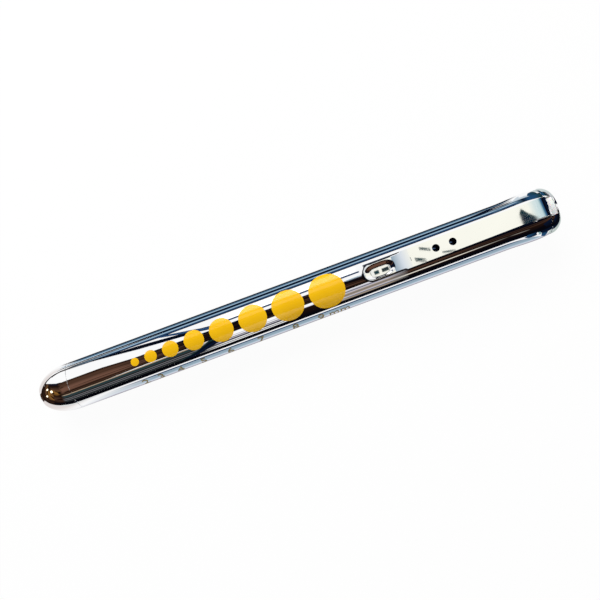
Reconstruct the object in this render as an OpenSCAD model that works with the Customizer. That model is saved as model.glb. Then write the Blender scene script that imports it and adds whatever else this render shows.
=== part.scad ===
// Penlight with a clip switch, a printed pupil gauge and a screw-on tail cap.
// All lengths are in mm. The pen lies along X with its tail at -X and its lamp at +X.
// The clip is on top (+Z), and the origin is under the middle of the pen on the table.

/* [Cells] */
// diameter of one AAA cell
cell_d = 10.5; // [10.3:0.05:11]
// length of one AAA cell over its cap
cell_len = 44.5; // [43:0.1:46]
// height of the positive cap
cell_cap_h = 1.1; // [0.8:0.1:1.5]
// diameter of the positive cap
cell_cap_d = 3.8; // [3:0.1:4.5]
// thickness of the printed sleeve round a cell
jacket_t = 0.2; // [0.1:0.05:0.4]
// thickness of the seal under the positive cap
seal_t = 0.5; // [0.3:0.1:0.8]

/* [Barrel] */
// radial play of a cell in the barrel
cell_clear = 0.15; // [0.1:0.01:0.3]
// wall of the barrel
barrel_wall = 0.6; // [0.5:0.01:0.8]
// rise of the bead at the lamp end above the barrel
bead_rise = 0.2; // [0.1:0.01:0.4]
// length of the flare that leads up to the bead
flare_len = 7.4; // [5:0.1:10]
// distance from the bead's crest to the barrel's end
bead_len = 3.7; // [3:0.1:4.5]
// drop of the barrel's rounded end below the barrel
mouth_drop = 0.07; // [0:0.01:0.15]

/* [Tail cap] */
// length of the dome
dome_len = 9.2; // [8:0.1:11]
// straight skirt between the dome and the seam
skirt_len = 0.5; // [0.3:0.1:1]
// gap at the seam
seam_gap = 0.08; // [0.05:0.01:0.12]
// depth of metal between the dome's tip and the spring's seat
cap_floor = 3.6; // [3:0.1:4.5]
// length of the threaded spigot
spigot_len = 6; // [5.5:0.1:8]
// barrel wall left outside the thread
thread_wall = 0.35; // [0.3:0.01:0.4]
// pitch of the thread
thread_pitch = 0.8; // [0.7:0.05:0.9]
// turns of the thread
thread_turns = 5; // [4:0.5:5]
// depth of the thread
thread_depth = 0.25; // [0.2:0.01:0.3]
// radial play of the thread
thread_clear = 0.07; // [0.04:0.01:0.1]

/* [Tail spring] */
// length of the spring between the tail cap and the rear cell
spring_len = 17.3; // [15:0.1:20]
// outside diameter of the spring
spring_d = 6.8; // [6:0.1:7.4]
// diameter of the spring wire
spring_wire = 0.6; // [0.4:0.05:0.8]
// coils of the spring
spring_coils = 6; // [5:0.5:7]
// radial play of the spring in the tail cap
spring_clear = 0.2; // [0.15:0.05:0.4]

/* [Lamp] */
// length of the lamp, contact tip to lens
lamp_len = 23.8; // [23:0.1:25]
// distance from the nose face back to the lens
lens_recess = 2.1; // [1.8:0.1:3]
// diameter over the lamp's screw thread
base_d = 9.4; // [9.2:0.02:9.5]
// length of the lamp's screw base
base_len = 8; // [7:0.1:9]
// pitch of the lamp's screw thread
base_pitch = 1.81; // [1.6:0.01:2]
// depth of the lamp's screw thread
base_depth = 0.25; // [0.15:0.01:0.3]
// wall of the lamp's screw base
base_wall = 0.22; // [0.15:0.01:0.3]
// diameter of the lamp's glass
glass_d = 9.1; // [8.8:0.05:9.2]
// wall of the lamp's glass
glass_wall = 0.5; // [0.4:0.05:0.7]
// length of the glass's neck inside the screw base
neck_len = 2.5; // [2:0.1:3]
// length of the glass's shoulder in front of the screw base
shoulder_len = 1.2; // [0.8:0.1:1.6]
// share of the glass, shoulder to lens, that keeps its full diameter
glass_share = 0.565; // [0.5:0.005:0.65]
// diameter of the lens at the glass's end
lens_d = 5.8; // [5:0.1:6]
// diameter of the contact tip
tip_d = 3; // [2.5:0.1:3.5]
// height of the contact tip
tip_h = 0.7; // [0.5:0.05:1]
// height of the black glass between tip and screw base
insulator_h = 1.7; // [1.4:0.1:2]
// step beside the black glass at the tip and at the screw base
insulator_step = 0.2; // [0.1:0.05:0.3]
// width of the screw base's rear rim
rim_w = 0.6; // [0.4:0.05:0.8]
// distance from the screw base's rear edge to its thread
base_lead = 0.4; // [0.3:0.05:0.6]
// diameter of the glass stem
stem_d = 3.2; // [2.8:0.1:3.6]
// length of the glass stem
stem_len = 7.2; // [6:0.1:8]
// length of the flare at the glass stem's foot
stem_flare = 2; // [1.5:0.1:2.5]
// radial play of the glass stem's foot in the glass's neck
stem_clear = 0.15; // [0.1:0.05:0.3]
// diameter of a support wire
support_d = 0.36; // [0.3:0.02:0.5]
// distance between the support wires
support_span = 2.4; // [2:0.1:2.6]
// length of the support wires
support_len = 4; // [3:0.1:4.5]
// diameter of the filament's coil
filament_d = 0.7; // [0.5:0.05:0.8]
// diameter of the filament's wire
filament_wire = 0.14; // [0.1:0.01:0.15]
// coils of the filament
filament_coils = 3; // [2:1:3]

/* [Socket and holder] */
// radial play of the lamp in its socket
socket_clear = 0.04; // [0.02:0.01:0.08]
// wall of the socket
socket_wall = 0.2; // [0.15:0.01:0.25]
// width of the socket's tab
tab_w = 2.4; // [2:0.1:3]
// play under the socket's tab in the holder
tab_clear = 0.16; // [0.1:0.02:0.2]
// radial play of the socket in the holder, and of the holder in the barrel
holder_clear = 0.04; // [0.02:0.01:0.06]
// distance from the front cell's cap to the holder's rear wall
holder_inset = 0.6; // [0.4:0.05:0.8]
// thickness of the holder's rear wall
holder_floor = 0.7; // [0.5:0.1:0.8]
// length of the holder's thick collar behind the lens's middle
collar_len = 2; // [1.5:0.1:2.4]
// diameter of the hole in the holder's rear wall
holder_hole_d = 6.4; // [6:0.1:6.8]
// diameter of the bore round the lens
collar_bore_d = 6.8; // [6.6:0.1:7.4]
// play between the lamp's glass and the holder's collar
glass_clear = 0.2; // [0.15:0.05:0.3]
// play in axial seats and contacts
seat_gap = 0.05; // [0.02:0.01:0.08]

/* [Nose ring] */
// length of the nose ring
ring_len = 2.7; // [2.4:0.1:3.2]
// length of the lip in front of the holder
lip_len = 0.75; // [0.6:0.05:1]
// diameter of the hole in the lip
lip_hole_d = 8.4; // [7.6:0.1:9]
// width of the flat nose face round the hole
face_w = 0.7; // [0.4:0.05:0.9]
// squareness of the nose ring's rounded edge
nose_power = 2.6; // [2:0.1:3.5]

/* [Clip] */
// length of the clip, tip to bend
clip_len = 48.2; // [44:0.1:52]
// width of the clip
clip_w = 4.6; // [4:0.1:5]
// thickness of the clip
clip_t = 0.5; // [0.4:0.02:0.6]
// gap under the clip
clip_gap = 1.5; // [1.3:0.05:2]
// outside radius of the bend
bend_r = 2.6; // [2.4:0.05:2.8]
// distance from the bend's outer face to the nose face
bend_inset = 2.5; // [2.2:0.1:2.8]
// length of the tang below the bend
tang_len = 0.85; // [0.6:0.05:1]
// length of the lowered tip
tip_len = 8.2; // [7.8:0.1:9]
// drop of the tip below the clip's flat
tip_drop = 0.25; // [0.15:0.01:0.3]
// length of the slope between the tip and the flat
slope_len = 6; // [5:0.1:7]
// length of the dish in the tip
dish_len = 7.4; // [6.8:0.1:7.6]
// width of the dish in the tip
dish_w = 3.8; // [3.4:0.1:3.8]
// depth of the dish
dish_depth = 0.35; // [0.25:0.01:0.4]
// diameter of the two holes
hole_d = 1.75; // [1.4:0.05:2]
// distance from the clip's tip to the first hole
hole_inset = 18.6; // [17:0.1:20]
// distance between the holes
hole_pitch = 4.3; // [3.6:0.1:5]
// play beside the clip in its slot
slot_clear = 0.15; // [0.12:0.01:0.25]
// play between the clip's bend and the holder's fulcrum
fulcrum_clear = 0.15; // [0.12:0.01:0.2]
// play round the tang in the holder's pocket
tang_clear = 0.25; // [0.22:0.01:0.35]

/* [Pupil gauge] */
// diameter of the smallest printed disc
gauge_first = 2; // [1:1:3]
// diameter of the largest printed disc
gauge_last = 9; // [8:1:9]
// number of printed discs
gauge_count = 8; // [6:1:8]
// gap between two discs
gauge_gap = 1.55; // [1:0.05:2]
// distance from the seam to the first disc
gauge_inset = 16.1; // [12:0.1:20]
// turn of the gauge round the barrel, away from the clip
gauge_turn = 5.7; // [0:0.1:20]
// thickness of the print
film_t = 0.05; // [0.03:0.01:0.08]
// seat of the print above the metal
film_seat = 0.01; // [0.005:0.005:0.02]

/* [Hidden] */
$fn = 96;
eps = 0.01;
dome_steps = 20;
curve_steps = 10;
dot_steps = 40;
coil_steps = 12;
thread_steps = 20;
base_steps = 8;
thread_crest_share = 0.12;
thread_root_share = 0.4;
wire_sides = 6;

bore_r = cell_d / 2 + cell_clear;
barrel_r = bore_r + barrel_wall;
bead_r = barrel_r + bead_rise;
mouth_r = barrel_r - mouth_drop;
lip_hole_r = lip_hole_d / 2;
face_r = lip_hole_r + face_w;

seam = dome_len + skirt_len;
rear_base = cap_floor + spring_len + 2 * seat_gap;
front_base = rear_base + cell_len + seat_gap;
lamp_back = front_base + cell_len + seat_gap;
lamp_front = lamp_back + lamp_len;
overall_len = lamp_front + lens_recess;

crest_r = barrel_r - thread_wall - thread_clear;
spigot_r = crest_r - thread_depth;
cap_bore_r = spring_d / 2 + spring_clear;
spigot_end = seam + spigot_len;
thread_start = seam + (spigot_len - thread_pitch * thread_turns) / 2;

ring_back = overall_len - ring_len;
barrel_start = seam + seam_gap;
barrel_end = ring_back - seam_gap;
bead_at = barrel_end - bead_len;
flare_start = bead_at - flare_len;

clip_top = barrel_r + clip_gap + clip_t;
clip_under = barrel_r + clip_gap;
bend_at = overall_len - bend_inset - bend_r;
bend_z = clip_top - bend_r;
bend_in_r = bend_r - clip_t;
clip_tip = overall_len - bend_inset - clip_len;
tang_front = bend_at + bend_r;
tang_back = bend_at + bend_in_r;
tang_low = bend_z - tang_len;
slot_w = clip_w + 2 * slot_clear;
fulcrum_r = bend_in_r - fulcrum_clear;
slot_start = bend_at - fulcrum_r - 2 * slot_clear;
window_end = overall_len - lip_len;

base_r = base_d / 2;
base_back = lamp_back + tip_h + insulator_h + 2 * seat_gap;
base_front = base_back + base_len;
base_root_r = base_r - base_depth;
base_in_r = base_root_r - base_wall;
neck_r = base_in_r - seat_gap;
glass_r = glass_d / 2;
glass_shoulder = base_front + shoulder_len;
lens_r = lens_d / 2;
lens_at = lamp_front - lens_r;
glass_len = glass_share * (lens_at - glass_shoulder);
cone_at = glass_shoulder + glass_len;
stem_back = base_back + base_wall + seat_gap;
stem_front = stem_back + stem_len;
support_front = stem_front + seat_gap + support_len;

socket_in_r = base_r + socket_clear;
socket_out_r = socket_in_r + socket_wall;
holder_in_r = socket_out_r + holder_clear;
holder_out_r = bore_r - holder_clear;
holder_back = lamp_back + holder_inset;
socket_back = holder_back + holder_floor + seat_gap;
collar_back = lens_at - collar_len;
socket_front = collar_back - seat_gap;
holder_front = window_end - seat_gap;
pocket_low = tang_low - tang_clear;

gauge_step = (gauge_last - gauge_first) / (gauge_count - 1);

chrome = [0.82, 0.84, 0.87];
brass = [0.80, 0.64, 0.30];
steel = [0.66, 0.67, 0.68];
white = [0.94, 0.94, 0.92];

// moves the pen from its own axis to the table, with its middle over the origin
module place() {
    translate([-overall_len / 2, 0, bead_r])
        children();
}

// turns a profile of [radius, distance from the tail] about the pen's axis
module turned() {
    rotate([0, 90, 0])
        rotate_extrude()
            children();
}

// a rod on the pen's axis
module rod(r, from, to) {
    turned()
        translate([0, from])
            square([r, to - from]);
}

// a tube on the pen's axis
module tube(r_in, r_out, from, to) {
    turned()
        translate([r_in, from])
            square([r_out - r_in, to - from]);
}

// a block centred across the pen
module block(from, to, w, low, high) {
    translate([from, -w / 2, low])
        cube([to - from, w, high - low]);
}

function ease(u) = u * u * (3 - 2 * u);

// outside radius of the barrel's head
function head_r(a) =
    a < bead_at
        ? barrel_r + (bead_r - barrel_r) * ease((a - flare_start) / flare_len)
        : bead_r - (bead_r - mouth_r) * pow((a - bead_at) / bead_len, 2);

// outside radius of the nose ring
function nose_r(a) = face_r + (mouth_r - face_r) * (1 - pow((a - ring_back) / ring_len, nose_power));

// outside radius of the glass's taper, full diameter to lens
function cone_r(a) = lens_r + (glass_r - lens_r) * (lens_at - a) / (lens_at - cone_at);

// a swept tube: rings of points along a path, closed at both ends
module sweep(rings) {
    n = len(rings[0]);
    last = len(rings) - 1;
    points = [for (ring = rings) for (p = ring) p];
    start_cap = [for (k = [1:n - 2]) [0, k, k + 1]];
    end_cap = [for (k = [1:n - 2]) [last * n, last * n + k + 1, last * n + k]];
    sides = [
        for (i = [0:last - 1])
            for (k = [0:n - 1])
                let (a = i * n + k, b = i * n + (k + 1) % n)
                    for (f = [[a, a + n, b + n], [a, b + n, b]])
                        f
    ];
    polyhedron(points = points, faces = concat(start_cap, sides, end_cap));
}

// a point of a coil along the pen, at a turn counted in degrees
function coil_point(r, from, pitch, turn) =
    [from + pitch * turn / 360, r * cos(turn), r * sin(turn)];

// a ring of the coil's wire, standing in the plane of the pen's axis
function coil_ring(r, wire, from, pitch, turn) = [
    for (k = [0:wire_sides - 1])
        let (q = 360 * k / wire_sides)
            coil_point(r + wire / 2 * cos(q), from + wire / 2 * sin(q), pitch, turn)
];

function coil_rings(r, wire, from, pitch, coils) = [
    for (i = [0:coil_steps * coils])
        coil_ring(r, wire, from, pitch, 360 * i / coil_steps)
];

// least gap between two turns of a coil, measured on points of its path
function coil_gap(r, wire, from, pitch, coils) = min([
    for (i = [0:coil_steps * (coils - 1)])
        for (j = [i + coil_steps / 2:coil_steps * coils])
            norm(coil_point(r, from, pitch, 360 * i / coil_steps)
                - coil_point(r, from, pitch, 360 * j / coil_steps)) - wire
]);

// a ring of the thread's ridge, which rises over the first and falls over the last half turn
function thread_ring(turn) =
    let (
        rise = min(1, turn / 180, (360 * thread_turns - turn) / 180),
        top_r = spigot_r - eps + (thread_depth + eps) * rise,
        low_r = spigot_r - thread_depth,
        top_w = thread_pitch * thread_crest_share,
        low_w = thread_pitch * thread_root_share
    )
    [
        coil_point(low_r, thread_start - low_w, thread_pitch, turn),
        coil_point(low_r, thread_start + low_w, thread_pitch, turn),
        coil_point(top_r, thread_start + top_w, thread_pitch, turn),
        coil_point(top_r, thread_start - top_w, thread_pitch, turn)
    ];

module barrel() {
    color(chrome)
        place()
            difference() {
                turned()
                    polygon(concat(
                        [[bore_r, barrel_end], [bore_r, spigot_end + seam_gap]],
                        [[crest_r + thread_clear, spigot_end + seam_gap]],
                        [[crest_r + thread_clear, barrel_start], [barrel_r, barrel_start]],
                        [for (i = [0:curve_steps])
                            let (a = flare_start + flare_len * i / curve_steps) [head_r(a), a]],
                        [for (i = [1:curve_steps])
                            let (a = bead_at + bead_len * i / curve_steps) [head_r(a), a]]
                    ));
                block(slot_start, overall_len, slot_w, 0, 2 * barrel_r);
            }
}

module nose_ring() {
    color(chrome)
        place()
            difference() {
                turned()
                    polygon(concat(
                        [[bore_r, ring_back], [bore_r, window_end], [lip_hole_r, window_end]],
                        [[lip_hole_r, overall_len]],
                        [for (i = [curve_steps:-1:0])
                            let (a = ring_back + ring_len * i / curve_steps) [nose_r(a), a]]
                    ));
                block(ring_back - eps, window_end, slot_w, 0, 2 * barrel_r);
            }
}

module tail_cap() {
    color(chrome)
        place()
            difference() {
                union() {
                    turned()
                        polygon(concat(
                            [[0, 0]],
                            [for (i = [1:dome_steps])
                                let (q = 90 * i / dome_steps)
                                    [barrel_r * sin(q), dome_len * (1 - cos(q))]],
                            [[barrel_r, seam], [spigot_r, seam], [spigot_r, spigot_end], [0, spigot_end]]
                        ));
                    sweep([
                        for (i = [0:thread_steps * thread_turns])
                            thread_ring(360 * i / thread_steps)
                    ]);
                }
                rod(cap_bore_r, cap_floor, spigot_end + eps);
            }
}

// the spring's path runs half a wire inside each of its seats
spring_r = (spring_d - spring_wire) / 2;
spring_from = cap_floor + seat_gap + spring_wire / 2;
spring_pitch = (spring_len - spring_wire) / spring_coils;
echo(spring_gap = coil_gap(spring_r, spring_wire, spring_from, spring_pitch, spring_coils));

module tail_spring() {
    color(steel)
        place()
            sweep(coil_rings(spring_r, spring_wire, spring_from, spring_pitch, spring_coils));
}

// one cell's metal can, with its flat negative end at the base
module cell_can(base) {
    place()
        rod(cell_d / 2 - jacket_t - seat_gap, base, base + cell_len - cell_cap_h - seal_t);
}

module cell_jacket(base) {
    place()
        tube(cell_d / 2 - jacket_t, cell_d / 2, base + seal_t, base + cell_len - cell_cap_h);
}

module cell_seal(base) {
    place()
        tube(
            cell_cap_d / 2 + seat_gap,
            cell_d / 2 - jacket_t - seat_gap,
            base + cell_len - cell_cap_h - seal_t + seat_gap / 2,
            base + cell_len - cell_cap_h
        );
}

module cell_cap(base) {
    place()
        rod(cell_cap_d / 2, base + cell_len - cell_cap_h - seal_t + seat_gap / 2, base + cell_len);
}

module rear_cell_can() {
    color(steel)
        cell_can(rear_base);
}

module rear_cell_jacket() {
    color([0.20, 0.32, 0.50])
        cell_jacket(rear_base);
}

module rear_cell_seal() {
    color([0.15, 0.15, 0.16])
        cell_seal(rear_base);
}

module rear_cell_cap() {
    color(steel)
        cell_cap(rear_base);
}

module front_cell_can() {
    color(steel)
        cell_can(front_base);
}

module front_cell_jacket() {
    color([0.20, 0.32, 0.50])
        cell_jacket(front_base);
}

module front_cell_seal() {
    color([0.15, 0.15, 0.16])
        cell_seal(front_base);
}

module front_cell_cap() {
    color(steel)
        cell_cap(front_base);
}

// a round bar across the pen, centred on the clip's bend
module across_bend(r, w) {
    translate([bend_at, w / 2, bend_z])
        rotate([90, 0, 0])
            cylinder(r = r, h = w);
}

module lamp_holder() {
    boss_w = clip_w - slot_clear;
    color(white)
        place()
            difference() {
                union() {
                    tube(holder_in_r, holder_out_r, holder_back, collar_back + eps);
                    tube(holder_hole_d / 2, holder_out_r, holder_back, holder_back + holder_floor);
                    turned()
                        polygon([
                            [cone_r(collar_back) + glass_clear, collar_back],
                            [holder_out_r, collar_back],
                            [holder_out_r, holder_front],
                            [collar_bore_d / 2, holder_front],
                            [collar_bore_d / 2, lens_at]
                        ]);
                    intersection() {
                        across_bend(fulcrum_r, boss_w);
                        block(bend_at - bend_r, tang_back, boss_w, tang_low, clip_top);
                    }
                }
                block(tang_back - tang_clear, tang_front + tang_clear, slot_w, pocket_low, clip_top);
                block(
                    collar_back - eps,
                    tang_back,
                    tab_w + 2 * holder_clear,
                    socket_in_r - tab_clear,
                    socket_out_r + holder_clear
                );
            }
}

module lamp_socket() {
    color(brass)
        place()
            union() {
                tube(socket_in_r, socket_out_r, socket_back, socket_front);
                intersection() {
                    tube(socket_in_r, socket_out_r, socket_back, tang_back - tang_clear);
                    block(socket_back, tang_back, tab_w, 0, barrel_r);
                }
            }
}

module bulb_shell() {
    steps = base_steps * floor((base_len - 2 * base_lead) / base_pitch);
    color(brass)
        place()
            turned()
                polygon(concat(
                    [[base_in_r - rim_w, base_back], [base_root_r - base_wall, base_back]],
                    [for (i = [0:steps])
                        let (turn = i / base_steps)
                            [base_root_r + base_depth * (1 - cos(360 * turn)) / 2,
                                base_back + base_lead + base_pitch * turn]],
                    [[base_root_r, base_front], [base_in_r, base_front]],
                    [[base_in_r, base_back + base_wall], [base_in_r - rim_w, base_back + base_wall]]
                ));
}

module bulb_insulator() {
    color([0.08, 0.08, 0.09])
        place()
            turned()
                polygon([
                    [0, lamp_back + tip_h + seat_gap],
                    [tip_d / 2 + insulator_step, lamp_back + tip_h + seat_gap],
                    [base_in_r - insulator_step, base_back - seat_gap],
                    [0, base_back - seat_gap]
                ]);
}

module bulb_tip() {
    color(steel)
        place()
            turned()
                polygon(concat(
                    [[0, lamp_back + tip_h], [0, lamp_back]],
                    [for (i = [1:curve_steps])
                        let (q = 90 * i / curve_steps)
                            [tip_d / 2 * sin(q), lamp_back + tip_h * (1 - cos(q))]]
                ));
}

module bulb_glass() {
    neck_at = base_front - neck_len;
    color([0.85, 0.90, 0.92, 0.6])
        place()
            turned()
                polygon(concat(
                    [[neck_r - glass_wall, neck_at], [neck_r, neck_at], [neck_r, base_front + seat_gap]],
                    [[glass_r, glass_shoulder], [glass_r, cone_at], [lens_r, lens_at]],
                    [for (i = [1:curve_steps - 1])
                        let (q = 90 * i / curve_steps)
                            [lens_r * cos(q), lens_at + lens_r * sin(q)]],
                    [[0, lamp_front], [0, lens_at - glass_wall]],
                    [[lens_r - glass_wall, lens_at - glass_wall], [glass_r - glass_wall, cone_at - glass_wall]],
                    [[glass_r - glass_wall, glass_shoulder + glass_wall]],
                    [[neck_r - glass_wall, base_front + seat_gap + glass_wall]]
                ));
}

module bulb_stem() {
    flange_r = neck_r - glass_wall - stem_clear;
    color([0.80, 0.86, 0.88, 0.8])
        place()
            turned()
                polygon([
                    [0, stem_back],
                    [flange_r, stem_back],
                    [flange_r, stem_back + glass_wall],
                    [stem_d / 2, stem_back + stem_flare],
                    [stem_d / 2, stem_front],
                    [0, stem_front]
                ]);
}

module support_wires() {
    color(steel)
        place()
            for (side = [-1, 1])
                translate([stem_front + seat_gap, side * support_span / 2, 0])
                    rotate([0, 90, 0])
                        cylinder(d = support_d, h = support_len);
}

// the filament's coil runs across the pen in front of its wires
filament_r = (filament_d - filament_wire) / 2;
filament_pitch = (support_span - support_d) / filament_coils;
echo(filament_gap = coil_gap(filament_r, filament_wire, 0, filament_pitch, filament_coils));

module filament() {
    color([0.45, 0.45, 0.47])
        place()
            translate([support_front + seat_gap + filament_d / 2, -filament_pitch * filament_coils / 2, 0])
                rotate([0, 0, 90])
                    sweep(coil_rings(filament_r, filament_wire, 0, filament_pitch, filament_coils));
}

// a shallow bowl along the clip's tip, turned about an axis above it; grow adds the metal's thickness
module dish(grow) {
    across_r = (pow(dish_w / 2, 2) + pow(dish_depth, 2)) / (2 * dish_depth);
    along_r = (pow(dish_len / 2, 2) + pow(dish_depth, 2)) / (2 * dish_depth);
    reach = asin((dish_len / 2) / along_r);
    axis_z = clip_top - tip_drop - dish_depth + across_r;
    translate([clip_tip + tip_len / 2, 0, axis_z])
        rotate([0, 90, 0])
            rotate_extrude()
                polygon(concat(
                    [[0, -(along_r + grow) * sin(reach)]],
                    [for (i = [-curve_steps:curve_steps])
                        let (q = reach * i / curve_steps)
                            [across_r - along_r + (along_r + grow) * cos(q), (along_r + grow) * sin(q)]],
                    [[0, (along_r + grow) * sin(reach)]]
                ));
}

// the clip's strip seen from the side, tip to bend
module clip_strip() {
    slope_at = clip_tip + tip_len;
    flat_at = slope_at + slope_len;
    translate([0, clip_w / 2, 0])
        rotate([90, 0, 0])
            linear_extrude(clip_w)
                polygon([
                    [clip_tip, clip_under - tip_drop],
                    [slope_at, clip_under - tip_drop],
                    [flat_at, clip_under],
                    [bend_at, clip_under],
                    [bend_at, clip_top],
                    [flat_at, clip_top],
                    [slope_at, clip_top - tip_drop],
                    [clip_tip, clip_top - tip_drop]
                ]);
}

module clip_outline() {
    translate([clip_tip + clip_w / 2, 0, 0])
        cylinder(d = clip_w, h = 2 * clip_top);
    block(clip_tip + clip_w / 2, overall_len, clip_w, 0, 2 * clip_top);
}

module clip() {
    color(chrome)
        place()
            difference() {
                union() {
                    intersection() {
                        union() {
                            clip_strip();
                            intersection() {
                                dish(clip_t);
                                block(clip_tip, clip_tip + tip_len, clip_w, barrel_r, clip_top - tip_drop - clip_t / 2);
                            }
                        }
                        clip_outline();
                    }
                    intersection() {
                        difference() {
                            across_bend(bend_r, clip_w);
                            across_bend(bend_in_r, 2 * clip_w);
                        }
                        block(bend_at, tang_front + eps, clip_w, bend_z, clip_top + eps);
                    }
                    block(tang_back, tang_front, clip_w, tang_low, bend_z);
                }
                dish(0);
                for (i = [0:1])
                    translate([clip_tip + hole_inset + i * hole_pitch, 0, barrel_r])
                        cylinder(d = hole_d, h = 2 * clip_top);
            }
}

// diameter of a disc, counted from the smallest
function dot_d(i) = gauge_first + i * gauge_step;

// edge of a disc towards the tail
function dot_edge(i) =
    i == 0 ? seam + gauge_inset : dot_edge(i - 1) + dot_d(i - 1) + gauge_gap;

// a disc that is round on the barrel's skin, drawn as seen from above it
function dot_outline(d) = [
    for (i = [0:dot_steps - 1])
        let (q = 360 * i / dot_steps)
            [d / 2 * cos(q), barrel_r * sin(d / 2 * sin(q) / barrel_r * 180 / PI)]
];

module pupil_gauge() {
    color([0.94, 0.76, 0.06])
        place()
            rotate([gauge_turn, 0, 0])
                for (i = [0:gauge_count - 1])
                    intersection() {
                        tube(
                            barrel_r + film_seat,
                            barrel_r + film_seat + film_t,
                            dot_edge(i) - eps,
                            dot_edge(i) + dot_d(i) + eps
                        );
                        translate([dot_edge(i) + dot_d(i) / 2, 0, 0])
                            linear_extrude(2 * barrel_r)
                                polygon(dot_outline(dot_d(i)));
                    }
}

barrel();
nose_ring();
tail_cap();
tail_spring();
rear_cell_can();
rear_cell_jacket();
rear_cell_seal();
rear_cell_cap();
front_cell_can();
front_cell_jacket();
front_cell_seal();
front_cell_cap();
lamp_holder();
lamp_socket();
bulb_shell();
bulb_insulator();
bulb_tip();
bulb_glass();
bulb_stem();
support_wires();
filament();
clip();
pupil_gauge();
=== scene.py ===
import math

import bpy
from mathutils import Matrix, Vector


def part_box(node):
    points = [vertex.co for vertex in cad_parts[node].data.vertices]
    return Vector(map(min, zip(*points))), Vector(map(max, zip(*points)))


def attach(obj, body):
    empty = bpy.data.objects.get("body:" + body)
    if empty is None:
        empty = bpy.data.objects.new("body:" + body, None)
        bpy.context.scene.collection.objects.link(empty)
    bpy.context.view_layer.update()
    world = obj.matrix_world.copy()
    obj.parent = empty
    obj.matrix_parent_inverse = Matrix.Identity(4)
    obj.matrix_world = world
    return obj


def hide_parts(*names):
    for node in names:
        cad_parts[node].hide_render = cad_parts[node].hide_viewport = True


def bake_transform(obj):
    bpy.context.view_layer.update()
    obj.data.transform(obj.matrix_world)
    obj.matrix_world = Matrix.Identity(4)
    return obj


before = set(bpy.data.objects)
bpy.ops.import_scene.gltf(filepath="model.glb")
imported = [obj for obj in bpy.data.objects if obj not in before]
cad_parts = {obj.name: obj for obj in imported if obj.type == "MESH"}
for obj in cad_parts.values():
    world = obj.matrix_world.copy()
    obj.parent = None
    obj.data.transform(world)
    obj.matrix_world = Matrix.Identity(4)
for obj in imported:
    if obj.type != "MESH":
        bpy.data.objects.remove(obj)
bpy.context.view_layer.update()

# The pen lies along X with its domed tail at -X and the clip on top.
# "along" is a distance in millimetres from the tail, "out" a distance from the pen's axis,
# and "turn" an angle round the axis, in degrees from the top towards -Y.
MM = 0.001
DOUBLES = 0.002
SLIVER = 0.0002
EDGE_BREAK = 0.03
RING_EDGE_BREAK = 0.05
TAIL_X = -68 * MM
AXIS_Z = 6.2 * MM

BARREL_R = 6.0
BORE_R = 5.4
SEAM = 9.73
BARREL_START = 9.76
COUNTERBORE_R = 5.65
COUNTERBORE_END = 15.78
FLARE_START = 122.12
BEAD_AT = 129.52
BEAD_R = 6.2
MOUTH_R = 5.93
BARREL_END = 133.22

DOME_LEN = 9.2
SPIGOT_R = 5.33
SPIGOT_END = 15.7
SPIGOT_BORE_R = 3.6
SPIGOT_CHAMFER = 0.2
CAP_FLOOR = 3.6
THREAD_START = 10.7
THREAD_PITCH = 0.8
THREAD_TURNS = 5
THREAD_CREST_R = 5.58

RING_START = 133.3
WINDOW_END = 135.25
NOSE_END = 136.0
FACE_R = 4.9
LIP_HOLE_R = 4.2
NOSE_POWER = 2.6

SLOT_START = 128.65
SLOT_W = 4.74

CLIP_TIP = 85.3
CLIP_W = 4.6
CLIP_T = 0.5
CLIP_TOP = 8.0
TIP_DROP = 0.25
TIP_END = 93.0
SLOPE_END = 97.5
BEND_AT = 130.9
BEND_OUT = 5.4
TANG_LEN = 0.85
CLIP_COLUMNS = 56
CLIP_EDGE_BREAK = 0.08
TIP_ROLL = 0.1
TIP_ROLL_W = 0.35
DISH_AT = 89.65
DISH_HALF = (3.8, 1.9)
DISH_DEPTH = 0.15
DISH_WALL = 0.355
DISH_OFFSET = (0.0, 0.85)
DISH_POWER = 2.8
CLIP_SKEW = 0.011
HOLES_AT = (103.9, 108.2)
HOLE_R = 0.93

GAUGE_START = 25.8
GAUGE_GAP = 1.55
GAUGE_TURN = 5.7
GAUGE_SIZES = range(2, 10)
INK_OUT = 6.035
INK_T = 0.05
NUMERAL_TURN = 73.5
NUMERAL_SIZE = 3.7


def on_pen(along, out=0.0, turn=0.0):
    """The frame's point at a place along the pen, out from its axis and round it."""
    angle = math.radians(turn)
    side = -out * MM * math.sin(angle)
    up = out * MM * math.cos(angle)
    return Vector((TAIL_X + along * MM, side, AXIS_Z + up))


def ease(x):
    """A step that starts and ends softly, from 0 to 1."""
    x = min(max(x, 0.0), 1.0)
    return x * x * (3 - 2 * x)


def soft_slope(x, bend=0.01):
    """An even slope from 0 to 1, with a short bend at each end."""
    if abs(x) < bend:
        return (x + bend) ** 2 / (4 * bend)
    if abs(1 - x) < bend:
        return 1 - (1 - x + bend) ** 2 / (4 * bend)
    return min(max(x, 0.0), 1.0)


# Working the metal

def deselect():
    if bpy.context.mode != "OBJECT":
        bpy.ops.object.mode_set(mode="OBJECT")
    bpy.ops.object.select_all(action="DESELECT")


def pick(piece):
    deselect()
    piece.select_set(True)
    bpy.context.view_layer.objects.active = piece


def edit_all(piece):
    pick(piece)
    bpy.ops.object.mode_set(mode="EDIT")
    bpy.ops.mesh.select_all(action="SELECT")


def close_up(piece):
    """Merges doubled points and turns the faces outwards."""
    edit_all(piece)
    bpy.ops.mesh.remove_doubles(threshold=DOUBLES * MM)
    bpy.ops.mesh.normals_make_consistent(inside=False)
    bpy.ops.object.mode_set(mode="OBJECT")


def clear_slivers(piece):
    """Takes out the needle faces that cutting leaves."""
    edit_all(piece)
    bpy.ops.mesh.dissolve_degenerate(threshold=SLIVER * MM)
    bpy.ops.object.mode_set(mode="OBJECT")


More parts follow.
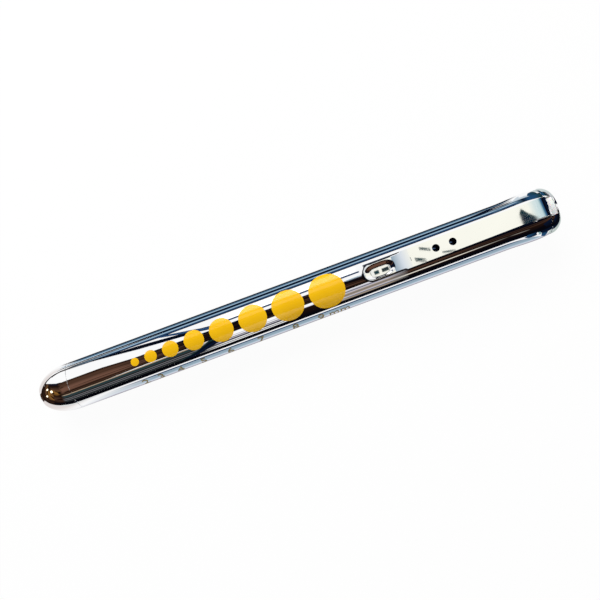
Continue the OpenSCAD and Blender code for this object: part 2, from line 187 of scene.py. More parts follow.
def smooth(piece, angle=30):
    pick(piece)
    bpy.ops.object.shade_smooth_by_angle(angle=math.radians(angle))


def apply_modifier(piece, kind, **settings):
    pick(piece)
    modifier = piece.modifiers.new(kind.lower(), kind)
    for name, value in settings.items():
        setattr(modifier, name, value)
    bpy.ops.object.modifier_apply(modifier=modifier.name)


def settle(piece):
    """Puts the piece's place into its mesh."""
    pick(piece)
    bpy.ops.object.transform_apply(location=True, rotation=True, scale=True)


def turned(name, outline, steps=144):
    """A piece turned on the lathe from an outline of (along, out) points."""
    deselect()
    bpy.ops.mesh.primitive_plane_add(size=MM)
    piece = bpy.context.object
    piece.name = name
    bpy.ops.object.mode_set(mode="EDIT")
    bpy.ops.mesh.select_all(action="SELECT")
    bpy.ops.mesh.merge(type="CENTER")
    spot = on_pen(*outline[0])
    bpy.ops.transform.translate(value=spot)
    for along, out in outline[1:]:
        to = on_pen(along, out)
        bpy.ops.mesh.extrude_vertices_move(TRANSFORM_OT_translate={"value": to - spot})
        spot = to
    bpy.ops.mesh.select_all(action="SELECT")
    bpy.ops.mesh.spin(steps=steps, angle=2 * math.pi, center=on_pen(0), axis=(1, 0, 0))
    close_up(piece)
    return piece


def block(start, end, width, low, high):
    """A cutter's block along the pen, between two heights over its axis."""
    deselect()
    middle = on_pen((start + end) / 2, (low + high) / 2)
    size = ((end - start) * MM, width * MM, (high - low) * MM)
    bpy.ops.mesh.primitive_cube_add(size=1, location=middle, scale=size)
    settle(bpy.context.object)
    return bpy.context.object


def drill(along, radius, low, high, side=0.0):
    """A round cutter that stands across the pen's top."""
    deselect()
    middle = on_pen(along, (low + high) / 2) + Vector((0, side * MM, 0))
    bpy.ops.mesh.primitive_cylinder_add(
        vertices=64, radius=radius * MM, depth=(high - low) * MM, location=middle,
    )
    settle(bpy.context.object)
    return bpy.context.object


def shape_with(piece, tool, operation="DIFFERENCE"):
    apply_modifier(piece, "BOOLEAN", object=tool, operation=operation, solver="EXACT")
    bpy.data.objects.remove(tool)


def break_edges(piece, width, segments=2, angle=40):
    apply_modifier(
        piece, "BEVEL", width=width * MM, segments=segments, limit_method="ANGLE",
        angle_limit=math.radians(angle), use_clamp_overlap=True,
    )


def wound(name, wire_r, coil_r, pitch, turns, steps=40, sides=16):
    """A wire wound round X, from the origin on."""
    deselect()
    bpy.ops.mesh.primitive_circle_add(
        vertices=sides, radius=wire_r * MM, rotation=(math.pi / 2, 0, 0), location=(0, 0, coil_r * MM)
    )
    piece = bpy.context.object
    piece.name = name
    settle(piece)
    apply_modifier(
        piece, "SCREW", axis="X", screw_offset=pitch * MM, iterations=turns,
        steps=steps, render_steps=steps, use_merge_vertices=False,
    )
    edit_all(piece)
    bpy.ops.mesh.fill_holes(sides=0)
    close_up(piece)
    return piece


def join_pieces(name, parts):
    deselect()
    for part in parts:
        part.select_set(True)
    bpy.context.view_layer.objects.active = parts[0]
    bpy.ops.object.join()
    bpy.context.object.name = name
    return bpy.context.object


def fit(piece, body, slot, finish, *stands_for):
    """Gives a finished piece its finish, its body and the nodes that it stands for."""
    piece.data.materials.clear()
    piece.data.materials.append(finish)
    if body:
        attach(piece, body)
    if stands_for:
        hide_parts(*stands_for)


# Finishes

def blank_finish(name):
    finish = bpy.data.materials.new(name)
    finish.use_nodes = True
    finish.node_tree.nodes.clear()
    return finish, finish.node_tree


def add(tree, kind, inputs=None, **settings):
    node = tree.nodes.new(kind)
    for key, value in settings.items():
        setattr(node, key, value)
    for key, value in (inputs or {}).items():
        node.inputs[key].default_value = value
    return node


def wire(tree, source, output, target, socket):
    tree.links.new(source.outputs[output], target.inputs[socket])


def noise(tree, stretch, scale, detail=3.0, roughness=0.5):
    """Noise on the piece's own coordinates, stretched along its axes."""
    where = add(tree, "ShaderNodeTexCoord")
    turn = add(tree, "ShaderNodeMapping", {"Scale": stretch})
    cloud = add(tree, "ShaderNodeTexNoise", {"Scale": scale, "Detail": detail, "Roughness": roughness})
    wire(tree, where, "Object", turn, "Vector")
    wire(tree, turn, "Vector", cloud, "Vector")
    return cloud


def ramp(tree, source, stops, output=0):
    shade = add(tree, "ShaderNodeValToRGB")
    while len(shade.color_ramp.elements) < len(stops):
        shade.color_ramp.elements.new(0.5)
    for element, (place, colour) in zip(shade.color_ramp.elements, stops):
        element.position = place
        element.color = (*colour, 1.0)
    wire(tree, source, output, shade, "Fac")
    return shade


def spread(tree, source, low, high, from_low=0.3, from_high=0.7):
    """Turns noise into a range of plain values."""
    scale = add(
        tree, "ShaderNodeMapRange",
        {"From Min": from_low, "From Max": from_high, "To Min": low, "To Max": high},
    )
    wire(tree, source, "Fac", scale, "Value")
    return scale


def bump(tree, source, strength, depth):
    dent = add(tree, "ShaderNodeBump", {"Strength": strength, "Distance": depth * MM})
    wire(tree, source, 0, dent, "Height")
    return dent


def finish_of(name, tones, gloss, tone_noise, gloss_noise, dents=None, **sockets):
    """A finish whose tone and gloss drift over the surface; sockets hold what is the same all over."""
    finish, tree = blank_finish(name)
    out = add(tree, "ShaderNodeOutputMaterial")
    shader = add(tree, "ShaderNodeBsdfPrincipled", {k.replace("_", " "): v for k, v in sockets.items()})
    wire(tree, shader, "BSDF", out, "Surface")
    tint = ramp(tree, noise(tree, *tone_noise), [(0.3, tones[0]), (0.7, tones[1])])
    wire(tree, tint, "Color", shader, "Base Color")
    shine = spread(tree, noise(tree, *gloss_noise), *gloss)
    wire(tree, shine, "Result", shader, "Roughness")
    if dents:
        grain, strength, depth = dents
        wire(tree, bump(tree, noise(tree, *grain), strength, depth), "Normal", shader, "Normal")
    return finish


EVEN = (1.0, 1.0, 1.0)
DRAWN = (0.04, 1.0, 1.0)
# Painted shade: the dark tone of the barrel's top under the clip, and where it reaches.
PAINTED_SHADE_TONE = (0.05, 0.085, 0.17, 1)
PAINTED_SHADE_STARTS = (CLIP_TIP + 3, CLIP_TIP + 9)
PAINTED_SHADE_HALF_WIDTHS = (1.5, 1.9)

CHROME = finish_of(
    "mirror_chrome", [(0.93, 0.935, 0.945), (0.975, 0.978, 0.982)], (0.01, 0.04),
    (EVEN, 90.0), (DRAWN, 700.0, 4.0), dents=((DRAWN, 3500.0, 2.0), 0.02, 0.002), Metallic=1.0,
)


def barrel_finish():
    """The barrel's chrome, with painted shade that darkens its top in the gap under the clip."""
    finish = CHROME.copy()
    finish.name = "barrel_chrome"
    tree = finish.node_tree
    shader = next(node for node in tree.nodes if node.type == "BSDF_PRINCIPLED")
    bright = shader.inputs["Base Color"].links[0].from_socket
    where = add(tree, "ShaderNodeTexCoord")
    split = add(tree, "ShaderNodeSeparateXYZ")
    wire(tree, where, "Object", split, "Vector")
    start, end = (on_pen(along).x for along in PAINTED_SHADE_STARTS)
    length = add(tree, "ShaderNodeMapRange", {"From Min": start, "From Max": end})
    wire(tree, split, "X", length, "Value")
    side = add(tree, "ShaderNodeMath", operation="ABSOLUTE")
    wire(tree, split, "Y", side, 0)
    full, none = PAINTED_SHADE_HALF_WIDTHS
    width = add(tree, "ShaderNodeMapRange", {"From Min": none * MM, "From Max": full * MM})
    wire(tree, side, "Value", width, "Value")
    top = add(tree, "ShaderNodeMath", {1: AXIS_Z}, operation="GREATER_THAN")
    wire(tree, split, "Z", top, 0)
    both = add(tree, "ShaderNodeMath", operation="MULTIPLY")
    wire(tree, length, "Result", both, 0)
    wire(tree, width, "Result", both, 1)
    # Painted shade: one on the barrel's top under the clip, fading in at its start and out at its sides.
    painted_shade_mask = add(tree, "ShaderNodeMath", operation="MULTIPLY")
    wire(tree, both, "Value", painted_shade_mask, 0)
    wire(tree, top, "Value", painted_shade_mask, 1)
    mix = add(tree, "ShaderNodeMix", data_type="RGBA")
    mix.inputs[7].default_value = PAINTED_SHADE_TONE
    wire(tree, painted_shade_mask, "Value", mix, 0)
    tree.links.new(bright, mix.inputs[6])
    wire(tree, mix, 2, shader, "Base Color")
    return finish


BARREL_CHROME = barrel_finish()
# A rough metal whose near-black colour is painted shade, for the clip's underside, cut edges and tip rim.
ROUGH_METAL_PAINTED_SHADE = finish_of(
    "rough_underside_painted_shade", [(0.012, 0.016, 0.028), (0.03, 0.034, 0.048)], (0.3, 0.45),
    (EVEN, 300.0), (DRAWN, 900.0), dents=((DRAWN, 2500.0), 0.1, 0.01), Metallic=1.0,
)
SPRING_WIRE = finish_of(
    "bright_spring_wire", [(0.55, 0.56, 0.57), (0.70, 0.71, 0.72)], (0.16, 0.34),
    (EVEN, 600.0), (EVEN, 1500.0), dents=((EVEN, 4000.0), 0.1, 0.01), Metallic=1.0,
)
ZINC = finish_of(
    "dull_zinc_can", [(0.50, 0.51, 0.53), (0.66, 0.67, 0.68)], (0.35, 0.55),
    (EVEN, 400.0), (DRAWN, 900.0), dents=((DRAWN, 2500.0), 0.15, 0.02), Metallic=1.0,
)
SEAL = finish_of(
    "moulded_black_seal", [(0.016, 0.016, 0.018), (0.03, 0.03, 0.032)], (0.45, 0.6),
    (EVEN, 300.0), (EVEN, 900.0), dents=((EVEN, 2500.0), 0.2, 0.02),
)
HOLDER_WHITE = finish_of(
    "moulded_white_bush", [(0.93, 0.93, 0.91), (0.97, 0.97, 0.95)], (0.32, 0.48),
    (EVEN, 250.0), (EVEN, 700.0), dents=((EVEN, 2200.0), 0.15, 0.02), Subsurface_Weight=0.1,
    Subsurface_Scale=0.0006,
)
BRASS = finish_of(
    "bright_brass", [(0.70, 0.48, 0.16), (0.84, 0.62, 0.26)], (0.12, 0.3),
    (EVEN, 350.0), (EVEN, 1100.0), dents=((EVEN, 3000.0), 0.08, 0.01), Metallic=1.0,
)
BLACK_GLASS = finish_of(
    "black_base_glass", [(0.006, 0.006, 0.008), (0.016, 0.015, 0.018)], (0.04, 0.14),
    (EVEN, 500.0), (EVEN, 900.0), dents=((EVEN, 1200.0), 0.1, 0.02), Coat_Weight=0.3,
)
LAMP_GLASS = finish_of(
    "clear_lamp_glass", [(0.95, 0.97, 0.97), (1.0, 1.0, 1.0)], (0.0, 0.02),
    (EVEN, 300.0), (EVEN, 600.0), dents=((EVEN, 500.0, 1.0), 0.05, 0.02), Transmission_Weight=1.0, IOR=1.5,
)
GAUGE_INK = finish_of(
    "yellow_gauge_ink", [(0.95, 0.52, 0.0), (1.0, 0.57, 0.001)], (0.30, 0.40),
    (EVEN, 120.0), (EVEN, 900.0), dents=((EVEN, 2600.0), 0.03, 0.01), Coat_Weight=0.7,
    Coat_Roughness=0.12, Coat_IOR=1.6, Specular_IOR_Level=0.15,
)
NUMERAL_INK = finish_of(
    "tan_numeral_ink", [(0.30, 0.22, 0.06), (0.40, 0.30, 0.09)], (0.35, 0.45),
    (EVEN, 120.0), (EVEN, 900.0), dents=((EVEN, 2600.0), 0.03, 0.01),
)


def sleeve_finish():
    """The cells' plain printed sleeve, all in one blue."""
    finish, tree = blank_finish("plain_printed_sleeve")
    out = add(tree, "ShaderNodeOutputMaterial")
    shader = add(tree, "ShaderNodeBsdfPrincipled", {"Coat Weight": 0.4, "Coat Roughness": 0.1})
    wire(tree, shader, "BSDF", out, "Surface")
    grain = noise(tree, EVEN, 500.0)
    print_tone = ramp(tree, grain, [(0.3, (0.022, 0.065, 0.19)), (0.7, (0.032, 0.088, 0.235))])
    wire(tree, print_tone, "Color", shader, "Base Color")
    wire(tree, spread(tree, grain, 0.2, 0.35), "Result", shader, "Roughness")
    return finish


SLEEVE = sleeve_finish()

NODE_FINISHES = {
    "rear_cell_can": ZINC, "front_cell_can": ZINC,
    "rear_cell_jacket": SLEEVE, "front_cell_jacket": SLEEVE,
    "rear_cell_seal": SEAL, "front_cell_seal": SEAL,
    "rear_cell_cap": SPRING_WIRE, "front_cell_cap": SPRING_WIRE,
    "lamp_holder": HOLDER_WHITE, "lamp_socket": BRASS,
    "bulb_shell": BRASS, "bulb_insulator": BLACK_GLASS, "bulb_tip": SPRING_WIRE,
    "bulb_glass": LAMP_GLASS, "bulb_stem": LAMP_GLASS, "support_wires": SPRING_WIRE,
}
for node_name, node_finish in NODE_FINISHES.items():
    node_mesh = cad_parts[node_name].data
    node_mesh.materials.clear()
    node_mesh.materials.append(node_finish)


# Barrel, nose ring and tail cap

def head_outline():
    """The flare, then the bead, as (along, out) points."""
    points = []
    for i in range(25):
        x = i / 24
        points.append((FLARE_START + x * (BEAD_AT - FLARE_START), BARREL_R + (BEAD_R - BARREL_R) * ease(x)))
    for i in range(1, 13):
        x = i / 12
        points.append((BEAD_AT + x * (BARREL_END - BEAD_AT), BEAD_R - (BEAD_R - MOUTH_R) * x * x))
    return points


def make_barrel():
    support = 0.4
    outline = [(BARREL_END, BORE_R), (COUNTERBORE_END, BORE_R), (COUNTERBORE_END, COUNTERBORE_R)]
    outline += [(BARREL_START, COUNTERBORE_R), (BARREL_START, BARREL_R - EDGE_BREAK)]
    outline += [(BARREL_START + EDGE_BREAK, BARREL_R)]
    outline += [(BARREL_START + support, BARREL_R), (FLARE_START - support, BARREL_R)]
    outline += head_outline() + [(BARREL_END, BORE_R)]
    barrel = turned("barrel_tube", outline)
    shape_with(barrel, block(SLOT_START, NOSE_END, SLOT_W, 0, 10))
    break_edges(barrel, EDGE_BREAK)
    clear_slivers(barrel)
    smooth(barrel)
    fit(barrel, "barrel", "chrome", BARREL_CHROME, "barrel")


def make_nose_ring():
    outline = [(RING_START, BORE_R), (RING_START, MOUTH_R)]
    for i in range(1, 25):
        x = i / 24
        along = RING_START + x * (NOSE_END - RING_START)
        outline.append((along, FACE_R + (MOUTH_R - FACE_R) * (1 - x ** NOSE_POWER)))
    outline += [(NOSE_END, LIP_HOLE_R), (WINDOW_END, LIP_HOLE_R)]
    outline += [(WINDOW_END, BORE_R), (RING_START, BORE_R)]
    ring = turned("nose_collar", outline)
    shape_with(ring, block(RING_START - 1, WINDOW_END, SLOT_W, 0, 10))
    break_edges(ring, RING_EDGE_BREAK)
    smooth(ring)
    fit(ring, "barrel", "chrome", CHROME, "nose_ring")


def make_tail_cap():
    outline = []
    for i in range(49):
        angle = math.radians(90 * i / 48)
        outline.append((DOME_LEN * (1 - math.cos(angle)), BARREL_R * math.sin(angle)))
    outline += [(SEAM - 3 * EDGE_BREAK, BARREL_R), (SEAM - EDGE_BREAK, BARREL_R)]
    outline += [(SEAM, BARREL_R - EDGE_BREAK), (SEAM, SPIGOT_R)]
    outline += [(SPIGOT_END - SPIGOT_CHAMFER, SPIGOT_R), (SPIGOT_END, SPIGOT_R - SPIGOT_CHAMFER)]
    outline += [(SPIGOT_END, SPIGOT_BORE_R), (CAP_FLOOR, SPIGOT_BORE_R), (CAP_FLOOR, 0)]
    cap = turned("tail_cap_dome", outline)
    shape_with(cap, thread_ridge(), "UNION")
    clear_slivers(cap)
    smooth(cap)
    fit(cap, "tail_cap", "chrome", CHROME, "tail_cap")


def thread_ridge():
    """The spigot's helical ridge: a flat-topped section wound round the axis."""
    deselect()
    bpy.ops.mesh.primitive_plane_add(size=1)
    ridge = bpy.context.object
    foot, crest = 0.32, 0.1
    root_r = SPIGOT_R - 0.25
    corners = [(-foot, root_r), (foot, root_r), (-crest, THREAD_CREST_R), (crest, THREAD_CREST_R)]
    for point, (along, out) in zip(ridge.data.vertices, corners):
        point.co = (along * MM, 0, out * MM)
    apply_modifier(
        ridge, "SCREW", axis="X", screw_offset=THREAD_PITCH * MM, iterations=THREAD_TURNS,
        steps=72, render_steps=72, use_merge_vertices=False,
    )
    edit_all(ridge)
    bpy.ops.mesh.fill_holes(sides=0)
    close_up(ridge)
    ridge.location = on_pen(THREAD_START)
    settle(ridge)
    return ridge


# Clip

def clip_top_at(along, side):
    """Height of the clip's upper face over the axis, with its dropped tip, dish and rolled rim."""
    height = CLIP_TOP - TIP_DROP * (1 - soft_slope((along - TIP_END) / (SLOPE_END - TIP_END)))
    spot = (along - DISH_AT, side)
    inside = 1 - min(dish_reach(*spot), 1)
    reach = dish_reach(*(place + shift * inside for place, shift in zip(spot, DISH_OFFSET)))
    height -= DISH_DEPTH * (1 - ease((reach - 1 + DISH_WALL) / DISH_WALL))
    return height - TIP_ROLL * rim_share(along, side)


def rim_share(along, side):
    """One on the edge of the tip, and nought where its rolled rim ends."""
    middle = CLIP_TIP + CLIP_W / 2
    room = CLIP_W / 2 - math.hypot(min(along - middle, 0), side)
    return max(0, 1 - room / TIP_ROLL_W) ** 2 * (1 - ease((along - TIP_END) / 3))


def dish_reach(along, side):
    """Nought in the middle of the dish and one on its rim, which is a rounded oblong."""
    share = abs(along / DISH_HALF[0]) ** DISH_POWER + abs(side / DISH_HALF[1]) ** DISH_POWER
    return share ** (1 / DISH_POWER)


def clip_rows():
    """Where the clip's strip is divided along its length, with half its width there."""
    half = CLIP_W / 2
    fine, coarse = 0.12, 0.5
    rows = []
    for i in range(20):
        angle = math.radians(3 + 87 * i / 19)
        rows.append((CLIP_TIP + half * (1 - math.cos(angle)), half * math.sin(angle)))
    along = rows[-1][0]
    while along < SLOPE_END + coarse:
        along += fine
        rows.append((along, half))
    while along < BEND_AT - 0.6:
        along += coarse
        rows.append((along, half))
    rows.append((BEND_AT, half))
    return rows


def clip_shift(along):
    """How far the clip, which sits a little askew, is off the pen's middle there."""
    return -CLIP_SKEW * (BEND_AT - along)


def make_clip():
    rows = clip_rows()
    deselect()
    bpy.ops.mesh.primitive_grid_add(x_subdivisions=len(rows) - 1, y_subdivisions=CLIP_COLUMNS, size=1)
    clip = bpy.context.object
    clip.name = "pocket_clip"
    for point in clip.data.vertices:
        along, half = rows[round((point.co.x + 0.5) * (len(rows) - 1))]
        side = point.co.y * 2 * half
        swung = side + clip_shift(along)
        point.co = on_pen(along, clip_top_at(along, side)) + Vector((0, swung * MM, 0))
    edit_all(clip)
    bpy.ops.mesh.select_all(action="DESELECT")
    bpy.ops.object.mode_set(mode="OBJECT")
    root_x = on_pen(BEND_AT).x - 0.01 * MM
    for point in clip.data.vertices:
        point.select = point.co.x > root_x
    bpy.ops.object.mode_set(mode="EDIT")
    bpy.ops.mesh.select_mode(type="EDGE")
    bpy.ops.mesh.spin(steps=14, angle=-math.pi / 2, center=on_pen(BEND_AT, BEND_OUT), axis=(0, 1, 0))
    bpy.ops.mesh.extrude_region_move(TRANSFORM_OT_translate={"value": (0, 0, -TANG_LEN * MM)})
    bpy.ops.object.mode_set(mode="OBJECT")
    close_up(clip)
    if clip.data.polygons[len(rows)].normal.z < 0:
        edit_all(clip)
        bpy.ops.mesh.flip_normals()
        bpy.ops.object.mode_set(mode="OBJECT")
    apply_modifier(clip, "SOLIDIFY", thickness=CLIP_T * MM, offset=-1)
    break_edges(clip, CLIP_EDGE_BREAK, segments=3)
    for along in HOLES_AT:
        shape_with(clip, drill(along, HOLE_R, CLIP_TOP - 2, CLIP_TOP + 1, clip_shift(along)))
    clear_slivers(clip)
    smooth(clip, 50)
    fit(clip, "clip", "chrome", CHROME, "clip")
    # Painted shade on the clip's underside, cut edges and the tip's rim.
    dull_underside_and_edges(clip)


def dull_underside_and_edges(clip):
    """Gives the clip's underside, cut edges and the tip's rolled rim a rough metal whose near-black colour
    is painted shade. It darkens the clip's edges, the tip's outline and the underside's reflection in the
    barrel.
    """
    faces_down, steep, on_rim = -0.6, 0.55, 0.06
    clip.data.materials.append(ROUGH_METAL_PAINTED_SHADE)
    for face in clip.data.polygons:
        along = (face.center.x - TAIL_X) / MM
        side = face.center.y / MM - clip_shift(along)
        by_edge = along < TIP_END or abs(side) > CLIP_W / 3
        cut_edge = along < BEND_AT and by_edge and face.normal.z < steep
        if face.normal.z < faces_down or cut_edge or rim_share(along, side) > on_rim:
            face.material_index = 1


# Printed gauge

def wrap_round(piece, along, turn):
    """Bends a flat piece to the barrel's curve and lays it on the barrel."""
    piece.rotation_euler = (math.pi / 2, 0, 0)
    settle(piece)
    upright = [point.co.z for point in piece.data.vertices]
    apply_modifier(
        piece, "SIMPLE_DEFORM", deform_method="BEND", deform_axis="X",
        angle=(max(upright) - min(upright)) / (INK_OUT * MM),
    )
    piece.location = (0, -INK_OUT * MM, 0)
    settle(piece)
    piece.rotation_euler = (math.radians(turn - 90), 0, 0)
    settle(piece)
    piece.location = on_pen(along)
    settle(piece)
    return piece


def gauge_dot(diameter, along):
    deselect()
    bpy.ops.mesh.primitive_circle_add(vertices=96, radius=diameter / 2 * MM, fill_type="NOTHING")
    dot = bpy.context.object
    bpy.ops.object.mode_set(mode="EDIT")
    bpy.ops.mesh.select_all(action="SELECT")
    bpy.ops.mesh.fill_grid(span=24)
    bpy.ops.object.mode_set(mode="OBJECT")
    close_up(dot)
    apply_modifier(dot, "SOLIDIFY", thickness=INK_T * MM, offset=0)
    return wrap_round(dot, along, GAUGE_TURN)


def numeral(words, along):
    deselect()
    bpy.ops.object.text_add()
    text = bpy.context.object
    text.data.body = words
    text.data.size = NUMERAL_SIZE * MM
    text.data.align_x = "CENTER"
    text.data.align_y = "CENTER"
    text.data.extrude = INK_T / 2 * MM
    bpy.ops.object.convert(target="MESH")
    text = bpy.context.object
    close_up(text)
    across = [point.co.y for point in text.data.vertices]
    edit_all(text)
    for i in range(1, 12):
        level = min(across) + (max(across) - min(across)) * i / 12
        bpy.ops.mesh.select_all(action="SELECT")
        bpy.ops.mesh.bisect(plane_co=(0, level, 0), plane_no=(0, 1, 0))
    bpy.ops.object.mode_set(mode="OBJECT")
    return wrap_round(text, along, NUMERAL_TURN)


def make_gauge():
    dots, numerals = [], []
    along = GAUGE_START
    for size in GAUGE_SIZES:
        middle = along + size / 2
        dots.append(gauge_dot(size, middle))
        numerals.append(numeral("9 mm" if size == 9 else str(size), middle))
        along += size + GAUGE_GAP
    smooth(join_pieces("gauge_dots", dots))
    fit(bpy.context.object, "barrel", "gauge_print", GAUGE_INK, "pupil_gauge")
    smooth(join_pieces("gauge_numerals", numerals))
    fit(bpy.context.object, "barrel", "gauge_print", NUMERAL_INK)


# Spring and filament

def make_tail_spring():
    low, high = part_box("tail_spring")
    wire_r, coil_r, turns = 0.3, 3.1, 6
    pitch = ((high[0] - low[0]) / MM - 2 * wire_r) / turns
    spring = wound("tail_coil", wire_r, coil_r, pitch, turns)
    spring.location = (low[0] + wire_r * MM, 0, AXIS_Z)
    settle(spring)
    smooth(spring, 60)
    fit(spring, None, "spring_steel", SPRING_WIRE, "tail_spring")
    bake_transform(spring)


def make_filament():
    low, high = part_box("filament")
    wire_r, coil_r, turns = 0.035, 0.28, 9
    pitch = ((high[1] - low[1]) / MM - 2 * wire_r) / turns
    coil = wound("lamp_filament", wire_r, coil_r, pitch, turns, steps=24, sides=8)
    coil.rotation_euler = (0, 0, math.pi / 2)
    settle(coil)
    coil.location = ((low[0] + high[0]) / 2, low[1] + wire_r * MM, (low[2] + high[2]) / 2)
    settle(coil)
    smooth(coil, 60)
    fit(coil, "barrel", "spring_steel", SPRING_WIRE, "filament")


make_barrel()
make_nose_ring()
make_tail_cap()
make_clip()
make_gauge()
make_tail_spring()
make_filament()


# Floor, cards, light and camera

FLOOR_SIZE = 6
FLOOR_AT = (0, 0, -0.00002)
CARD_CELLS = (64, 16)


def background_rays(tree):
    """One for rays from the camera, a mirror or a glass, and nought for the rest."""
    path = add(tree, "ShaderNodeLightPath")
    total = add(tree, "ShaderNodeMath", operation="MAXIMUM")
    wire(tree, path, "Is Camera Ray", total, 0)
    wire(tree, path, "Is Glossy Ray", total, 1)
    both = add(tree, "ShaderNodeMath", operation="MAXIMUM")
    wire(tree, total, "Value", both, 0)
    wire(tree, path, "Is Transmission Ray", both, 1)
    return both


def lay_floor():
    deselect()
    bpy.ops.mesh.primitive_plane_add(size=FLOOR_SIZE, location=FLOOR_AT)
    floor = bpy.context.object
    floor.name = "white_floor"
    finish, tree = blank_finish("white_floor")
    out = add(tree, "ShaderNodeOutputMaterial")
    matt = add(tree, "ShaderNodeBsdfDiffuse", {"Color": (0.95, 0.95, 0.95, 1)})
    glow = add(tree, "ShaderNodeEmission", {"Color": (1, 1, 1, 1), "Strength": 1.0})
    share = add(tree, "ShaderNodeMath", {1: 0.95}, operation="MULTIPLY")
    mix = add(tree, "ShaderNodeMixShader")
    wire(tree, background_rays(tree), "Value", share, 0)
    wire(tree, share, "Value", mix, "Fac")
    wire(tree, matt, "BSDF", mix, 1)
    wire(tree, glow, "Emission", mix, 2)
    wire(tree, mix, "Shader", out, "Surface")
    floor.data.materials.append(finish)


def light_world():
    world = bpy.data.worlds.new("studio")
    bpy.context.scene.world = world
    world.use_nodes = True
    tree = world.node_tree
    tree.nodes.clear()
    out = add(tree, "ShaderNodeOutputWorld")
    back = add(tree, "ShaderNodeBackground", {"Color": (1, 1, 1, 1)})
    level = add(tree, "ShaderNodeMapRange", {"To Min": 0.45, "To Max": 1.0})
    wire(tree, background_rays(tree), "Value", level, "Value")
    wire(tree, level, "Result", back, "Strength")
    wire(tree, back, "Background", out, "Surface")


def hang(name, place, tones, lines=None, count=8.0, share=0.5, ends=(0.0, 0.0), axis="Y", strength=1.0):
    """Hangs a studio card that only mirrors see.

    place(u, v) gives its points, and tones its colours along u (axis X) or v (axis Y). lines are the
    colours of fine lines along it, and ends the shares of its length that fade out.
    """
    deselect()
    bpy.ops.mesh.primitive_grid_add(x_subdivisions=CARD_CELLS[0], y_subdivisions=CARD_CELLS[1], size=1)
    sheet = bpy.context.object
    sheet.name = name
    for point in sheet.data.vertices:
        point.co = place(point.co.x + 0.5, point.co.y + 0.5)
    finish, tree = blank_finish(name)
    out = add(tree, "ShaderNodeOutputMaterial")
    glow = add(tree, "ShaderNodeEmission", {"Strength": strength})
    where = add(tree, "ShaderNodeTexCoord")
    split = add(tree, "ShaderNodeSeparateXYZ")
    wire(tree, where, "UV", split, "Vector")
    tone = ramp(tree, split, tones, axis)
    if lines:
        comb = add(tree, "ShaderNodeMapping", {"Scale": (1.5, count, 1.0)})
        cloud = add(tree, "ShaderNodeTexNoise", {"Scale": 1.0, "Detail": 2.0, "Roughness": 0.6})
        wire(tree, where, "UV", comb, "Vector")
        wire(tree, comb, "Vector", cloud, "Vector")
        middle = 0.68 - 0.36 * share
        mask = spread(tree, cloud, 0.0, 1.0, middle - 0.03, middle + 0.03)
        mix = add(tree, "ShaderNodeMix", data_type="RGBA")
        wire(tree, mask, "Result", mix, 0)
        wire(tree, tone, "Color", mix, 6)
        wire(tree, ramp(tree, split, lines, axis), "Color", mix, 7)
        wire(tree, mix, 2, glow, "Color")
    else:
        wire(tree, tone, "Color", glow, "Color")
    clear = add(tree, "ShaderNodeBsdfTransparent")
    shown = add(tree, "ShaderNodeMixShader")
    left = add(tree, "ShaderNodeMapRange", {"From Max": max(ends[0], 0.001)})
    right = add(tree, "ShaderNodeMapRange", {"From Min": 1.0, "From Max": 1.0 - max(ends[1], 0.001)})
    both = add(tree, "ShaderNodeMath", operation="MULTIPLY")
    wire(tree, split, "X", left, "Value")
    wire(tree, split, "X", right, "Value")
    wire(tree, left, "Result", both, 0)
    wire(tree, right, "Result", both, 1)
    wire(tree, both, "Value", shown, "Fac")
    wire(tree, clear, "BSDF", shown, 1)
    wire(tree, glow, "Emission", shown, 2)
    wire(tree, shown, "Shader", out, "Surface")
    sheet.data.materials.append(finish)
    sheet.visible_camera = False
    sheet.visible_diffuse = False
    sheet.visible_shadow = False
    sheet.visible_transmission = False


def between(a, b, share):
    return a + (b - a) * share


def at_share(stations, share):
    """A card's x, and its first and last edge there, at a share of the length that its stations span."""
    x = between(stations[0][0], stations[-1][0], share)
    for before, after in zip(stations, stations[1:]):
        if x <= after[0]:
            break
    part = (x - before[0]) / (after[0] - before[0])
    return [between(a, b, part) for a, b in zip(before, after)]


def overhead(name, stations, tones, radius=200, **more):
    """A card bent round the pen. Stations give x, and its first and last angle from straight up to +Y."""
    def place(u, v):
        x, first, last = at_share(stations, u)
        angle = math.radians(between(first, last, v))
        return (x * MM, radius * MM * math.sin(angle), AXIS_Z + radius * MM * math.cos(angle))
    hang(name, place, tones, **more)


def underfoot(name, stations, tones, height=0.3, **more):
    """A card on the floor. Its stations give x, and its first and last y."""
    def place(u, v):
        x, first, last = at_share(stations, u)
        return (x * MM, between(first, last, v) * MM, height * MM)
    hang(name, place, tones, **more)


def upright(name, x, ys, zs, tones, **more):
    """A card that stands across the pen's axis."""
    def place(u, v):
        return (x * MM, between(*ys, u) * MM, between(*zs, v) * MM)
    hang(name, place, tones, **more)


WHITE = (1.0, 1.0, 1.0)
CREAM = (0.99, 0.98, 0.88)
MIST = (0.72, 0.77, 0.83)
LILAC = (0.55, 0.53, 0.62)
PALE_GREY = (0.60, 0.66, 0.65)
BLUSH = (0.78, 0.72, 0.70)
GREY = (0.16, 0.16, 0.17)
SLATE = (0.035, 0.042, 0.042)
SKY = (0.30, 0.40, 0.48)
PALE_BLUE = (0.40, 0.58, 0.74)
DEEP_BLUE = (0.016, 0.07, 0.16)
BLUE = (0.03, 0.09, 0.22)
STEEL = (0.10, 0.20, 0.30)
TEAL = (0.012, 0.045, 0.055)
NAVY = (0.003, 0.008, 0.026)
BLACK = (0.002, 0.002, 0.004)
BROWN = (0.075, 0.036, 0.022)
RUST = (0.16, 0.078, 0.052)
UMBER = (0.014, 0.006, 0.004)
TAN = (0.40, 0.31, 0.22)
AMBER = (0.26, 0.12, 0.025)
LAMP = (1.0, 0.86, 0.62)
PALE_TEAL = (0.62, 0.76, 0.77)
